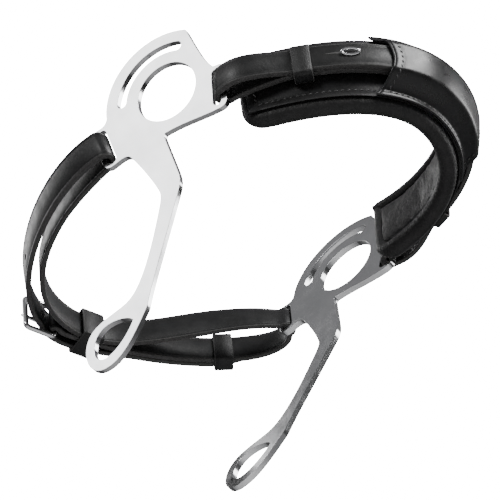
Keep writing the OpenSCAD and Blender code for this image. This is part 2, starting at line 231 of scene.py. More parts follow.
def strap_leather(name, shine=(0.34, 0.50), base=0.007, grain=0.00006):
    paint = Paint(name, (base, base, base * 1.05), 0.4)
    paint.colour(paint.noise(70, 4), (base * 0.8,) * 3, (base * 1.5, base * 1.5, base * 1.6))
    paint.roughness(paint.noise(160, 4), *shine)
    paint.bump(paint.noise(260, 3), grain * 1.6, 0.6)
    paint.bump(paint.cells(1500), grain, 0.6)
    paint.set(Specular_IOR_Level=0.42, Sheen_Weight=0.03, Sheen_Roughness=0.5)
    return paint.mat


def creased_leather(name):
    """Soft lining leather: fine pebbles and creases that run across the pad."""
    paint = Paint(name, (0.016, 0.016, 0.017), 0.5)
    paint.colour(paint.noise(110, 4), (0.006,) * 3, (0.016, 0.0155, 0.016))
    paint.roughness(paint.noise(200, 4), 0.40, 0.60)
    paint.bump(paint.noise(420, 3, 0.6, paint.stretched((1, 1, 0.35))), 0.00035, 0.7)
    paint.bump(paint.cells(950), 0.00022, 0.8)
    paint.bump(paint.cells(2100, "SMOOTH_F1"), 0.00008, 0.6)
    paint.set(Specular_IOR_Level=0.4, Sheen_Weight=0.06, Sheen_Roughness=0.4)
    return paint.mat


def cut_edge():
    paint = Paint("cut_edge", (0.03, 0.03, 0.03), 0.6)
    fibres = paint.noise(900, 4, 0.7, paint.stretched((1, 1, 0.2)))
    paint.colour(fibres, (0.02, 0.02, 0.02), (0.065, 0.063, 0.062))
    paint.bump(fibres, 0.0001, 0.6)
    paint.set(Sheen_Weight=0.2)
    return paint.mat


def thread():
    paint = Paint("waxed_thread", (0.05, 0.05, 0.052), 0.32)
    twist = paint.noise(3200, 2)
    paint.colour(twist, (0.03, 0.03, 0.031), (0.09, 0.09, 0.092))
    paint.bump(twist, 0.00006, 0.8)
    return paint.mat


STEEL = polished_steel()
STRAP = strap_leather("strap_leather")
SHELL = strap_leather("shell_leather", shine=(0.36, 0.52), grain=0.00008)
COVER = strap_leather("cover_leather", shine=(0.24, 0.36), grain=0.00003)
KEEPER = strap_leather("keeper_leather", shine=(0.40, 0.58), grain=0.00014)
LINING = creased_leather("lining_leather")
EDGE = cut_edge()
THREAD = thread()

# ------------------------------------------------------------------ mesh tools


def make_object(name, verts, faces, materials, face_mats=None):
    """Vertices in millimetres become an object in metres."""
    mesh = bpy.data.meshes.new(name)
    mesh.from_pydata([V(v) * MM for v in verts], [], faces)
    for mat in materials:
        mesh.materials.append(mat)
    if face_mats:
        mesh.polygons.foreach_set("material_index", face_mats)
    mesh.polygons.foreach_set("use_smooth", [True] * len(mesh.polygons))
    mesh.validate()
    work = bmesh.new()
    work.from_mesh(mesh)
    bmesh.ops.recalc_face_normals(work, faces=work.faces)
    work.to_mesh(mesh)
    work.free()
    obj = bpy.data.objects.new(name, mesh)
    bpy.context.collection.objects.link(obj)
    return obj


def sweep_mesh(frames, section, is_edge=None, closed=False):
    """Rings of the section at frames of (origin, x, y); section may be a function of the index."""
    verts, faces, mats = [], [], []
    size = len(section(0)) if callable(section) else len(section)
    for i, (origin, x, y) in enumerate(frames):
        points = section(i) if callable(section) else section
        verts += [origin + p[0] * x + p[1] * y for p in points]
    rows = len(frames)
    for i in range(rows if closed else rows - 1):
        j = (i + 1) % rows
        for a in range(size):
            b = (a + 1) % size
            faces.append((i * size + a, j * size + a, j * size + b, i * size + b))
            mats.append(1 if is_edge and is_edge(a) else 0)
    if not closed:
        faces.append(tuple(range(size)))
        faces.append(tuple((rows - 1) * size + a for a in reversed(range(size))))
        mats += [1 if is_edge else 0] * 2
    return verts, faces, mats


def applied(obj):
    """The object with its modifiers made into its mesh."""
    graph = bpy.context.evaluated_depsgraph_get()
    mesh = bpy.data.meshes.new_from_object(obj.evaluated_get(graph))
    obj.modifiers.clear()
    old = obj.data
    obj.data = mesh
    bpy.data.meshes.remove(old)
    return obj


def sharpened(obj, degrees=35):
    """Smooth faces, but sharp where they meet at more than the angle."""
    work = bmesh.new()
    work.from_mesh(obj.data)
    for edge in work.edges:
        if len(edge.link_faces) == 2:
            edge.smooth = edge.calc_face_angle(0) < math.radians(degrees)
    work.to_mesh(obj.data)
    work.free()
    return obj


def smoothed(obj):
    made = obj.modifiers.new("smooth", "SUBSURF")
    made.levels = made.render_levels = 1
    return applied(obj)


def rest_on(obj, body, slot_name, *nodes):
    """The piece rides on a body and stands for the given CAD nodes. slot_name is not used."""
    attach(obj, body)
    if nodes:
        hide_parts(*nodes)
    return obj


# ------------------------------------------------------------------ curves


def on_bezier(p, t):
    u = 1 - t
    return u ** 3 * p[0] + 3 * u * u * t * p[1] + 3 * u * t * t * p[2] + t ** 3 * p[3]


def bezier(p, n):
    p = [V(q) for q in p]
    return [on_bezier(p, i / n) for i in range(n + 1)]


def catmull(points, parts):
    """A smooth line through the points, with the given number of parts to each gap."""
    n = len(points)
    out = []
    for i in range(n - 1):
        a, b = points[max(i - 1, 0)], points[i]
        c, d = points[i + 1], points[min(i + 2, n - 1)]
        for k in range(parts):
            t = k / parts
            out.append(0.5 * (2 * b + (c - a) * t + (2 * a - 5 * b + 4 * c - d) * t * t
                              + (3 * b - a - 3 * c + d) * t ** 3))
    return out + [points[-1].copy()]


def direction(points, i):
    return (points[min(i + 1, len(points) - 1)] - points[max(i - 1, 0)]).normalized()


def mix(a, b, t):
    return a * (1 - t) + b * t


# Sizes of the CAD model, in millimetres
RING_SPACING = 151.4
SPLAY = math.radians(10.8)
TOE = math.radians(3.9)
PLATE_T = 3.2
BAR_W = 3.4
STRAP_W = 16
BILLET_W = 14
STRAP_T = 2.7
STRAP_Z = -12
REAR = 121
GAP = 0.3
NOSE_HALF_W = 55
NOSE_REACH = 94.4
NOSE_DRIFT = 5.5
NOSE_N = 14
LEAN_SIDE = 6
LEAN_FRONT = 10.5
PAD_H = 36.5
ROLL_Z = -28
ROLL_R = 4.6
TOP_ROLL_R = 2.6
STRAP_B = 20.5
JOIN_K = 3.3
TIP_K = 11
KEEPER_K = (3.45, 4.75)
STUD_K = 7.1
LAYER = STRAP_T + 0.25
SHELL_IN = 2.6
SHELL_OUT = 4.8
KEEPER_T = 1.2
UNDER = SHELL_OUT + 0.6 + GAP + KEEPER_T + 0.15 + STRAP_T / 2
OVER = UNDER + LAYER
FOLD_R = math.hypot(PLATE_T, BAR_W) / 2 + GAP + STRAP_T / 2

forward = V((math.sin(TOE), -math.cos(TOE), 0))
upward = V((-math.sin(SPLAY) * math.cos(TOE), -math.sin(SPLAY) * math.sin(TOE), math.cos(SPLAY)))
outward = V((-math.cos(SPLAY) * math.cos(TOE), -math.cos(SPLAY) * math.sin(TOE),
             -math.sin(SPLAY)))


def on_left(a, b):
    return V((-RING_SPACING / 2, 0, 0)) + a * forward + b * upward - PLATE_T / 2 * outward


def flipped(v, s):
    return V((-s * v.x, v.y, v.z))


CURB_PIVOT = on_left(-40.4, -12.6)
NOSE_PIVOT = on_left(29.2, -12.6)


def nose_half(s):
    """Half of the lower roll's curve seen from above, from its end to the middle of the nose."""
    return [V((s * NOSE_HALF_W, -31, 0)), V((s * 50.5 + NOSE_DRIFT, -61, 0)),
            V((s * 32 + NOSE_DRIFT, -NOSE_REACH, 0)), V((NOSE_DRIFT / 2, -NOSE_REACH, 0))]


def nose_at(i):
    if i <= NOSE_N:
        return on_bezier(nose_half(-1), i / NOSE_N)
    return on_bezier(nose_half(1), 2 - i / NOSE_N)


def nose_out(i):
    d = (nose_at(i + 0.01) - nose_at(i - 0.01)).normalized()
    return V((d.y, -d.x, 0))


def nose_lean(i):
    return math.radians(LEAN_SIDE + (LEAN_FRONT - LEAN_SIDE) * nose_out(i).y ** 2)


def pad_out(i):
    """Directions square to the pad's face and up along it at a station."""
    n, q = nose_out(i), nose_lean(i)
    return n * math.cos(q) - UP * math.sin(q), n * math.sin(q) + UP * math.cos(q)


def pad_point(i, a, b):
    out, up = pad_out(i)
    return nose_at(i) + UP * ROLL_Z + a * out + b * up


def pad_at(s, k):
    return k if s < 0 else 2 * NOSE_N - k


def on_pad(s, k, a):
    i = pad_at(s, k)
    return pad_point(i, a, STRAP_B), pad_out(i)[1]


def run(start, end, c1, c2, n):
    """Stations of a strap between two others, with the width turning evenly on the way."""
    points = bezier([start[0], c1, c2, end[0]], n)
    return [(points[i], mix(start[1], end[1], i / n)) for i in range(n + 1)]


def fold(bar, up, s, way, n=8):
    """Half a turn of a strap round a slot's bar."""
    flat = V((outward.x, outward.y, 0)).normalized()
    out = []
    for i in range(n + 1):
        q = math.pi * i / n
        point = bar + FOLD_R * (math.cos(q) * flat + way * math.sin(q) * forward)
        out.append((flipped(point, s), flipped(up, s)))
    return out


TILT = math.radians(8)
NOSE_UP = math.sin(TILT) * forward + math.cos(TILT) * upward
CURB_UP = -math.sin(TILT) * forward + math.cos(TILT) * upward


def billet_path(s):
    turn = fold(NOSE_PIVOT, NOSE_UP, s, -1)
    first, last = on_pad(s, JOIN_K, OVER), on_pad(s, JOIN_K, UNDER)
    path = [on_pad(s, k, OVER) for k in range(TIP_K, 3, -1)]
    path += run(first, turn[0], first[0] + V((s * 6, 9, 0)), turn[0][0] + V((s * 2.4, -11, 0)), 7)
    path += turn[1:]
    path += run(turn[-1], last, turn[-1][0] + V((0, -6, 0)), last[0] + V((s * 3, 6, 0)), 6)[1:]
    return path + [on_pad(s, k, UNDER) for k in range(4, TIP_K + 1)]


PIN = V((-1, REAR + 7, STRAP_Z))
PIN_R = 1.4
PIN_FOLD = PIN_R + GAP + STRAP_T / 2


def to_upright(start, c1, c2, end, n):
    """Stations of a run whose width turns upright within its first third."""
    points = bezier([start[0], c1, c2, end], n)
    return [(points[i], mix(start[1], UP, min(1, 3 * i / n))) for i in range(n + 1)]


def leaning(start, c1, c2, end, n):
    """The same, but its width turns upright only near the end."""
    points = bezier([start[0], c1, c2, end], n)
    return [(points[i], mix(start[1], UP, min(1, 1.15 * (i / n) ** 2))) for i in range(n + 1)]


def curb_paths():
    """The whole curb strap, the run that the keepers sit on and the run that has the holes."""
    left = fold(CURB_PIVOT, CURB_UP, -1, 1)
    right = fold(CURB_PIVOT, CURB_UP, 1, 1)
    z = STRAP_Z
    centre = (-4, REAR, z)
    inner_left = to_upright(left[-1], (-63, REAR - 49, z), (-42, REAR, z), centre, 14)
    inner_right = to_upright(right[-1], (40, REAR - 52, z), (38, REAR, z), centre, 14)
    outer_right = to_upright(right[0], (96, REAR - 66, z), (48, REAR - 13, z),
                             (PIN.x + 3, PIN.y - PIN_FOLD, z), 16)
    outer_left = leaning(left[0], (-77.5, REAR - 46, z), (-42.5, REAR + 3.4, z),
                         (PIN.x - 9, REAR + 8.9, z), 14)
    lap = [p for p, _ in outer_right]
    on_lap = []
    for i in range(12, 4, -1):
        d = direction(lap, i)
        on_lap.append((lap[i] - LAYER * V((-d.y, d.x, 0)).normalized(), UP))
    over = bezier([outer_left[-1][0], (7, REAR + 15.8, z), on_lap[0][0] + V((-11, 8.6, 0)),
                   on_lap[0][0]], 8)
    over_pin = [(p, UP) for p in over]
    wrap = [(PIN + PIN_FOLD * V((math.cos(q), math.sin(q), 0)), UP)
            for q in [math.radians(a) for a in (180, 210, 240, 270)]]
    path = (wrap + outer_right[::-1] + right[1:] + inner_right[1:] + inner_left[::-1][1:]
            + left[::-1][1:] + outer_left[1:] + over_pin[1:] + on_lap[1:])
    return path, lap, outer_left


# ------------------------------------------------------------------ straps


def strap_section(width=STRAP_W, thick=STRAP_T, scale=1.0, corner=0.7, groove=0.16):
    """Outline of a strap across its width, with a creased line near each edge on both faces."""
    half, t = width / 2 * scale, thick / 2
    points, edge = [], []
    for sx, sy in [(1, 1), (-1, 1), (-1, -1), (1, -1)]:
        arc = []
        for k in range(4):
            q = math.pi / 2 * k / 3
            along, over = math.cos(q), math.sin(q)
            arc.append((sx * (t - corner + corner * along), sy * (half - corner + corner * over)))
        if sx * sy < 0:
            arc.reverse()
        lines = [(sx * t, sy * (half - 1.4)), (sx * (t - groove), sy * (half - 1.8)),
                 (sx * t, sy * (half - 2.2))]
        if sx * sy < 0:
            points += arc + lines
            edge += [1, 1, 1, 0, 0, 0, 0]
        else:
            points += lines[::-1] + arc
            edge += [0, 0, 0, 1, 1, 1, 1]
    return points, edge


def strap(name, path, width_at=None, width=STRAP_W):
    """A leather strap along a path of (point, direction of its width)."""
    mids = catmull([p for p, _ in path], 3)
    ups = catmull([u.normalized() for _, u in path], 3)
    frames = []
    for i, (mid, up) in enumerate(zip(mids, ups)):
        d = direction(mids, i)
        n = V((-d.y, d.x, 0)).normalized()
        frames.append((mid, n, up.normalized()))
    edge = strap_section()[1]
    total = len(frames)

    def section(i):
        return strap_section(width, scale=width_at(i, total) if width_at else 1.0)[0]

    verts, faces, mats = sweep_mesh(frames, section, lambda a: edge[a])
    return make_object(name, verts, faces, [STRAP, EDGE], mats)


def tip(i, total, length=9):
    """Share of the full width near the strap's far end, which comes to a blunt point."""
    left = total - 1 - i
    return 1.0 if left >= length else 0.30 + 0.70 * math.sin(math.pi / 2 * left / length) ** 0.9


def stitches(name, points, normals, spacing=3.0, length=2.0, radius=0.46, slant=0.35,
             lift=0.18):
    """A row of thread stitches along a line, each a small capsule that sinks at both ends."""
    verts, faces = [], []
    gone, target = 0.0, spacing / 2
    for i in range(len(points) - 1):
        a, b = points[i], points[i + 1]
        step = (b - a).length
        while target <= gone + step and step > 0:
            t = (target - gone) / step
            at, n = mix(a, b, t), mix(normals[i], normals[i + 1], t).normalized()
            d = (b - a).normalized()
            side = n.cross(d).normalized()
            d = (d * math.cos(slant) + side * math.sin(slant)).normalized()
            side = n.cross(d).normalized()
            base = len(verts)
            for k in range(5):
                x = (k / 4 - 0.5) * length
                r = radius * (0.35, 0.9, 1, 0.9, 0.35)[k]
                sink = -radius * 0.5 * (2 * x / length) ** 2
                for m in range(6):
                    q = math.tau * m / 6
                    verts.append(at + d * x + n * (lift + sink + r * math.sin(q))
                                 + side * r * math.cos(q))
            for k in range(4):
                for m in range(6):
                    p = (m + 1) % 6
                    faces.append((base + k * 6 + m, base + k * 6 + p,
                                  base + (k + 1) * 6 + p, base + (k + 1) * 6 + m))
            faces.append(tuple(base + m for m in reversed(range(6))))
            faces.append(tuple(base + 24 + m for m in range(6)))
            target += spacing
        gone += step
    return make_object(name, verts, faces, [THREAD])


def tube(name, points, radius, material, closed=False, sides=14, flat=1.0, normal=None):
    """A round or flattened bar along points. radius may be a function of the share of the way."""
    frames = []
    n = len(points)
    last = None
    for i in range(n):
        d = (points[(i + 1) % n] - points[i - 1]).normalized() if closed else direction(points, i)
        x = normal(i) if normal else (last or (UP if abs(d.z) < 0.9 else V((1, 0, 0))))
        x = (x - x.dot(d) * d).normalized()
        last = x
        frames.append((points[i], x, d.cross(x)))

    def section(i):
        r = radius(i / (n - 1)) if callable(radius) else radius
        return [(r * flat * math.cos(math.tau * k / sides), r * math.sin(math.tau * k / sides))
                for k in range(sides)]

    verts, faces, _ = sweep_mesh(frames, section, closed=closed)
    return make_object(name, verts, faces, [material])


def rounded_loop(w, h, r, steps=6):
    """A rectangle with rounded corners, as (x, y) points."""
    out = []
    for cx, cy, start in [(1, 1, 0), (-1, 1, 90), (-1, -1, 180), (1, -1, 270)]:
        for k in range(steps + 1):
            q = math.radians(start + 90 * k / steps)
            out.append((cx * (w / 2 - r) + r * math.cos(q), cy * (h / 2 - r) + r * math.sin(q)))
    return out


def leather_band(name, origin, across, up, along, inner, height, width, material):
    """A keeper: a flat band round a rectangle of inner by height, width long."""
    loop = rounded_loop(inner + KEEPER_T, height + KEEPER_T, 1.5)
    frames = []
    n = len(loop)
    for i, (x, y) in enumerate(loop):
        p = origin + across * x + up * y
        before, after = loop[i - 1], loop[(i + 1) % n]
        d = (across * (after[0] - before[0]) + up * (after[1] - before[1])).normalized()
        frames.append((p, along.cross(d).normalized(), along))
    t, w, r = KEEPER_T / 2, width / 2, 0.4
    section = [(t, -w + r), (t, -w + 1.0), (t - 0.12, -w + 1.3), (t, -w + 1.6),
               (t, w - 1.6), (t - 0.12, w - 1.3), (t, w - 1.0), (t, w - r), (t - r, w),
               (-t + r, w), (-t, w - r), (-t, -w + r), (-t + r, -w), (t - r, -w)]
    verts, faces, mats = sweep_mesh(frames, section, lambda a: a in (7, 8, 9, 11, 12, 13), True)
    return sharpened(make_object(name, verts, faces, [material, EDGE], mats), 50)


# ------------------------------------------------------------------ shanks


RIM_W = 1.0
# Creases pressed into each plate: a point on the line, the way across it and the slope beyond it
CREASES = (((-35.6, 0.9), (-0.468, -0.884), -0.055), ((-26.0, -21.2), (-0.165, -0.986), 0.060))


def pressed(work, s):
    """Cuts the plate along its creases and tips what lies beyond each one."""
    across = flipped(forward, s), flipped(upward, s), flipped(outward, s)
    origin = V((s * RING_SPACING / 2, 0, 0))
    for at, way, _ in CREASES:
        everything = work.verts[:] + work.edges[:] + work.faces[:]
        bmesh.ops.bisect_plane(work, geom=everything, dist=1e-7,
                               plane_co=(origin + at[0] * across[0] + at[1] * across[1]) * MM,
                               plane_no=way[0] * across[0] + way[1] * across[1])
    for vert in work.verts:
        local = vert.co / MM - origin
        a, b = local.dot(across[0]), local.dot(across[1])
        rise = sum(slope * max(0.0, (a - at[0]) * way[0] + (b - at[1]) * way[1])
                   for at, way, slope in CREASES)
        vert.co += across[2] * rise * MM


def polished_plate(name, node, body, s):
    """The CAD plate with rounded edges and pressed creases."""
    obj = bpy.data.objects.new(name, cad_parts[node].data.copy())
    bpy.context.collection.objects.link(obj)
    obj.data.materials.clear()
    obj.data.materials.append(STEEL)
    work = bmesh.new()
    work.from_mesh(obj.data)
    bmesh.ops.remove_doubles(work, verts=work.verts, dist=0.00002)
    bmesh.ops.dissolve_limit(work, angle_limit=math.radians(0.6), verts=work.verts,
                             edges=work.edges)
    pressed(work, s)
    work.to_mesh(obj.data)
    work.free()
    rim = obj.modifiers.new("rim", "BEVEL")
    rim.width = RIM_W * MM
    rim.segments = 4
    rim.limit_method = "ANGLE"
    rim.angle_limit = math.radians(50)
    applied(obj)
    obj.data.polygons.foreach_set("use_smooth", [True] * len(obj.data.polygons))
    normals = obj.modifiers.new("normals", "WEIGHTED_NORMAL")
    normals.weight = 90
    applied(obj)
    return rest_on(obj, body, "polished_steel", node)


polished_plate("near_shank", "shank_left", "left_shank", -1)
polished_plate("far_shank", "shank_right", "right_shank", 1)

# ------------------------------------------------------------------ noseband

NB = "noseband"
LAST = 2 * NOSE_N
SHELL_LOW = ROLL_R + 0.4
SHELL_TOP = PAD_H + 1
FLANGE = ROLL_R + 0.5
LIP_B = 0.5
SHELL_SEAMS = (4.6, SHELL_TOP - 3.2)
SHELL_START = 0.1


def pad_frames(first, last, steps):
    """Frames along the pad: origin on the lower roll's centre line, x outwards, y up."""
    out = []
    for k in range(steps + 1):
        i = mix(first, last, k / steps)
        x, y = pad_out(i)
        out.append((nose_at(i) + UP * ROLL_Z, x, y))
    return out


def shell_a(b):
    """How far out the shell stands at height b: a flange over the roll, then the pad's bow."""
    t = (b - LIP_B) / (SHELL_TOP - LIP_B)
    flange = max(0.0, 1 - (b - LIP_B) / 7.5)
    return SHELL_OUT - 0.3 + 0.9 * math.sin(math.pi * min(1, max(0, t))) + 1.7 * flange ** 1.6


def shell_section(share):
    """Outline of the shell. It thins and rounds off at both ends of the pad."""
    outer = []
    steps = 26
    for k in range(steps + 1):
        b = mix(LIP_B + 0.5, SHELL_TOP - 0.7, k / steps)
        a = shell_a(b)
        for seam in SHELL_SEAMS:
            a -= 0.45 * math.exp(-((b - seam) / 0.75) ** 2)
        outer.append((SHELL_IN + (a - SHELL_IN) * share, b))
    top = SHELL_TOP
    inner_top = [(SHELL_IN + (SHELL_OUT - 0.9 - SHELL_IN) * share, top - 0.1),
                 (SHELL_IN + 0.6, top), (SHELL_IN, top - 0.5)]
    inner_low = [(SHELL_IN, SHELL_LOW + 2.4), (SHELL_IN + 0.7, SHELL_LOW + 0.6),
                 (FLANGE + 0.1, LIP_B + 0.4), (FLANGE + 0.5, LIP_B),
                 (FLANGE + 0.9, LIP_B + 0.05)]
    return outer + inner_top + inner_low


def make_shell():
    steps = 110
    frames = pad_frames(SHELL_START, LAST - SHELL_START, steps)

    def section(i):
        near = min(i, steps - i)
        share = 1.0 if near > 3 else (0.45, 0.78, 0.93, 0.985)[near]
        return shell_section(share)

    verts, faces, _ = sweep_mesh(frames, section)
    shell = sharpened(make_object("noseband_outer_shell", verts, faces, [SHELL]), 60)
    return rest_on(shell, NB, "black_leather", "noseband_shell")


def pad_line(first, last, steps, a, b):
    """A line on the pad's outer face and its normals."""
    points, normals = [], []
    for k in range(steps + 1):
        i = mix(first, last, k / steps)
        points.append(pad_point(i, a, b))
        normals.append(pad_out(i)[0])
    return points, normals


make_shell()
for tag, b in zip(("low", "top"), SHELL_SEAMS):
    line = pad_line(0.8, LAST - 0.8, 160, shell_a(b) - 0.3, b)
    rest_on(stitches("shell_stitches_" + tag, *line), NB, "black_leather")
for tag, i in (("near", 0.75), ("far", LAST - 0.75)):
    rows = [mix(SHELL_SEAMS[0] + 2, SHELL_SEAMS[1] - 2, k / 12) for k in range(13)]
    points = [pad_point(i, shell_a(b) + 0.05, b) for b in rows]
    rest_on(stitches("shell_stitches_end_" + tag, points, [pad_out(i)[0]] * 13),
            NB, "black_leather")


ROLL_START = 0.05    # station at which the lower roll turns up at each end of the pad
ROLL_CORNER = 7.5    # radius of that turn
ROLL_STRAIGHT = 1.6  # station from which it follows the pad's lower edge
ARM_R = 3.0          # radius of its upright arms
UPPER_PAST = 0.3     # how far the upper roll runs past the pad, in stations


def roll_route():
    """The lower roll's middle line: it turns up round both ends of the pad to the upper roll."""
    up_to = PAD_H - 1.5

    def end(i, way):
        arm = [pad_point(i, 0.2, b) for b in (up_to, 28, 22, 16, 11)]
        bend = []
        for k in range(1, 8):
            q = math.radians(90 * k / 8)
            b = ROLL_CORNER * (1 - math.sin(q))
            along = ROLL_CORNER * (1 - math.cos(q))
            d = (nose_at(i + way * 0.02) - nose_at(i)).normalized()
            bend.append(pad_point(i, 0.2 * (1 - k / 8), b) + d * along)
        return arm + bend

    start = end(ROLL_START, 1)
    stop = end(LAST - ROLL_START, -1)[::-1]
    middle = [pad_point(mix(ROLL_STRAIGHT, LAST - ROLL_STRAIGHT, k / 60), 0, 0)
              for k in range(61)]
    return start + middle + stop, len(start)


def make_rolls():
    route, arm = roll_route()
    line = catmull(route, 3)
    total = len(line) - 1
    share = arm * 3 / total

    def radius(t):
        edge = min(t, 1 - t)
        grow = min(1.0, edge / share)
        wrinkle = 0.05 * math.sin(total * t * 1.9) + 0.04 * math.sin(total * t * 3.1 + 1)
        return mix(ARM_R, ROLL_R, grow ** 1.5) + wrinkle

    lower = tube("lower_roll", line, radius, LINING, sides=22)
    upper_line = [pad_point(mix(-UPPER_PAST, LAST + UPPER_PAST, k / 150), -1, PAD_H)
                  for k in range(151)]

    def upper_radius(t):
        return TOP_ROLL_R * (1 if min(t, 1 - t) > 0.008 else 0.8) + 0.03 * math.sin(700 * t)

    upper = tube("upper_roll", upper_line, upper_radius, LINING, sides=16)
    rest_on(lower, NB, "lining_leather", "edge_roll")
    rest_on(upper, NB, "lining_leather")
    for tag, a, b in (("low", -ROLL_R * 0.72, ROLL_R * 0.72), ("outer", 3.9, 3.2)):
        seam = [pad_point(mix(1.2, LAST - 1.2, k / 150), a, b) for k in range(151)]
        rest_on(tube("roll_seam_" + tag, seam, 0.42, SHELL, sides=8), NB, "lining_leather")


make_rolls()


PAD_START = 0.25
SIM_FRAMES = 20
VOXEL = 1.9
SWELL = 1.3


def make_pad():
    """The stuffed lining: a slim closed form that cloth simulation swells and creases."""
    steps, low, high = 84, SHELL_LOW - 0.2, PAD_H - TOP_ROLL_R - 0.6
    inner, outer = -3.3, SHELL_IN - 0.5
    section = []
    for k in range(13):
        t = k / 12
        section.append((inner - 0.5 * math.sin(math.pi * t), mix(high, low, t)))
    for k in range(13):
        section.append((outer, mix(low, high, k / 12)))
    verts, faces, _ = sweep_mesh(pad_frames(PAD_START, LAST - PAD_START, steps), section)
    pad = make_object("lining_pad", verts, faces, [LINING])
    remesh = pad.modifiers.new("remesh", "REMESH")
    remesh.mode = "VOXEL"
    remesh.voxel_size = VOXEL * MM
    applied(pad)
    swell(pad, most=SWELL * MM)
    smoothed(pad)
    crease(pad)
    pad.data.polygons.foreach_set("use_smooth", [True] * len(pad.data.polygons))
    rest_on(pad, NB, "lining_leather", "noseband_lining", "noseband_foam")


def swell(obj, most):
    """Blows the piece up a little as cloth, with each point kept near its start."""
    rest = [v.co.copy() for v in obj.data.vertices]
    cloth = obj.modifiers.new("cloth", "CLOTH")
    cloth.settings.use_pressure = True
    cloth.settings.uniform_pressure_force = 4
    cloth.settings.effector_weights.gravity = 0
    cloth.settings.tension_stiffness = 25
    cloth.settings.bending_stiffness = 1.5
    cloth.point_cache.frame_start = 1
    cloth.point_cache.frame_end = SIM_FRAMES
    scene = bpy.context.scene
    for step in range(1, SIM_FRAMES + 1):
        scene.frame_set(step)
    applied(obj)
    scene.frame_set(1)
    for vert, start in zip(obj.data.vertices, rest):
        move = vert.co - start
        if move.length > most:
            vert.co = start + move * (most / move.length)


def crease(obj):
    """Shallow folds across the pad, which the bend round the nose presses into the lining."""
    obj.data.update()
    shift = []
    for vert in obj.data.vertices:
        p = vert.co / MM
        angle = math.atan2(p.x - 2, -(p.y + 35)) * 46
        wave = noise.noise(V((angle * 0.42, p.z * 0.10, 3.1)))
        fine = noise.noise(V((angle * 1.7, p.z * 0.35, 7.7)))
        shift.append(vert.normal * (0.16 * wave + 0.16 * fine) * MM)
    for vert, move in zip(obj.data.vertices, shift):
        vert.co += move


make_pad()

# ------------------------------------------------------------------ nose cover


STATION_MM = 5.3     # length of a station of the pad over the nose
SEAM_K = 0.95        # share of the cover's reach at which its seams turn
COVER_REACH = 5.45
COVER_CUT = 1.15


def cover_reach(b):
    """How far the cover reaches from the nose at height b, in stations: its ends curve inwards."""
    t = (b - 19) / 19
    return COVER_REACH - COVER_CUT * max(0.0, 1 - t * t)


def cover_a(b, k):
    """How far out the cover's face stands, at height b and share k of its reach."""
    foot, roof = shell_a(b) + 1.55, OVER + STRAP_T / 2 + 1.25
    t = abs(b - STRAP_B) / (BILLET_W / 2 + 9)
    rise = 1 - max(0.0, min(1.0, (t - 0.46) / 0.60))
    rise = rise * rise * (3 - 2 * rise)
    dome = 1.5 * (1 - 0.6 * k * k) * (1 - t * t)
    return mix(foot, roof, rise) + max(0.0, dome)


def make_cover():
    low, top, thick = LIP_B + 0.5, PAD_H + 1.6, 1.25
    rows, cols = 40, 64
    outer, inner = [], []
    for r in range(rows + 1):
        b = mix(low, top, r / rows)
        reach = cover_reach(b)
        for c in range(cols + 1):
            k = 2 * c / cols - 1
            i = NOSE_N + reach * k
            a = cover_a(b, k)
            edge = min((1 - abs(k)) * reach * STATION_MM, b - low, top - b)
            groove = 0.32 * math.exp(-((edge - 2.6) / 0.55) ** 2)
            ripple = 0.10 * noise.noise(V((i * 0.9, b * 0.16, 1.3)))
            ease = 0.45 * max(0.0, 1 - edge / 0.8) ** 2
            outer.append(pad_point(i, a - groove - ease + ripple, b))
            inner.append(pad_point(i, a - thick, b))
    verts = outer + inner
    size = cols + 1
    half = len(outer)
    faces, mats = [], []
    for r in range(rows):
        for c in range(cols):
            q = r * size + c
            faces.append((q, q + 1, q + size + 1, q + size))
            faces.append((half + q, half + q + size, half + q + size + 1, half + q + 1))
            mats += [0, 0]
    rim = (list(range(cols)) + [r * size + cols for r in range(rows)]
           + [rows * size + c for c in range(cols, 0, -1)]
           + [r * size for r in range(rows, 0, -1)])
    for n, q in enumerate(rim):
        p = rim[(n + 1) % len(rim)]
        faces.append((q, half + q, half + p, p))
        mats.append(1)
    cover = make_object("nose_cover_skin", verts, faces, [COVER, EDGE], mats)
    sharpened(cover, 50)
    rest_on(cover, NB, "cover_leather", "nose_cover")

    def border(inset, lift):
        """A line round the cover, the given distance in from its edge."""
        points, normals = [], []

        def add(i, b, k):
            points.append(pad_point(i, cover_a(b, k) + lift, b))
            normals.append(pad_out(i)[0])

        lo, hi = low + inset, top - inset
        for n in range(60):
            k = mix(-1, 1, n / 60)
            reach = cover_reach(lo) - inset / STATION_MM
            add(NOSE_N + reach * k, lo, k * SEAM_K)
        for n in range(30):
            b = mix(lo, hi, n / 30)
            add(NOSE_N + cover_reach(b) - inset / STATION_MM, b, SEAM_K)
        for n in range(60):
            k = mix(1, -1, n / 60)
            reach = cover_reach(hi) - inset / STATION_MM
            add(NOSE_N + reach * k, hi, k * SEAM_K)
        for n in range(30):
            b = mix(hi, lo, n / 30)
            add(NOSE_N - cover_reach(b) + inset / STATION_MM, b, -SEAM_K)
        return points + points[:1], normals + normals[:1]

    line = border(2.6, -0.30)
    rest_on(stitches("cover_stitches", *line, slant=0.55), NB, "cover_leather")
    piping = border(0.1, -0.55)[0][:-1]
    rest_on(tube("cover_piping", piping, 0.55, COVER, closed=True, sides=8), NB, "cover_leather")


make_cover()

# ------------------------------------------------------------------ billets

BILLET_KEEPER_H = BILLET_W + 2.5
BILLET_KEEPER_B = STRAP_B - 0.75   # height of the keeper's middle on the pad
EYE_B = STRAP_B + 1.0              # height of the hook's eye and its slit on the pad
EYE_LONG, EYE_WIDE, EYE_RISE = 4.2, 1.5, 0.5
EYE_WIRE_R = 0.6
SLIT_K = (5.5, 7.6)

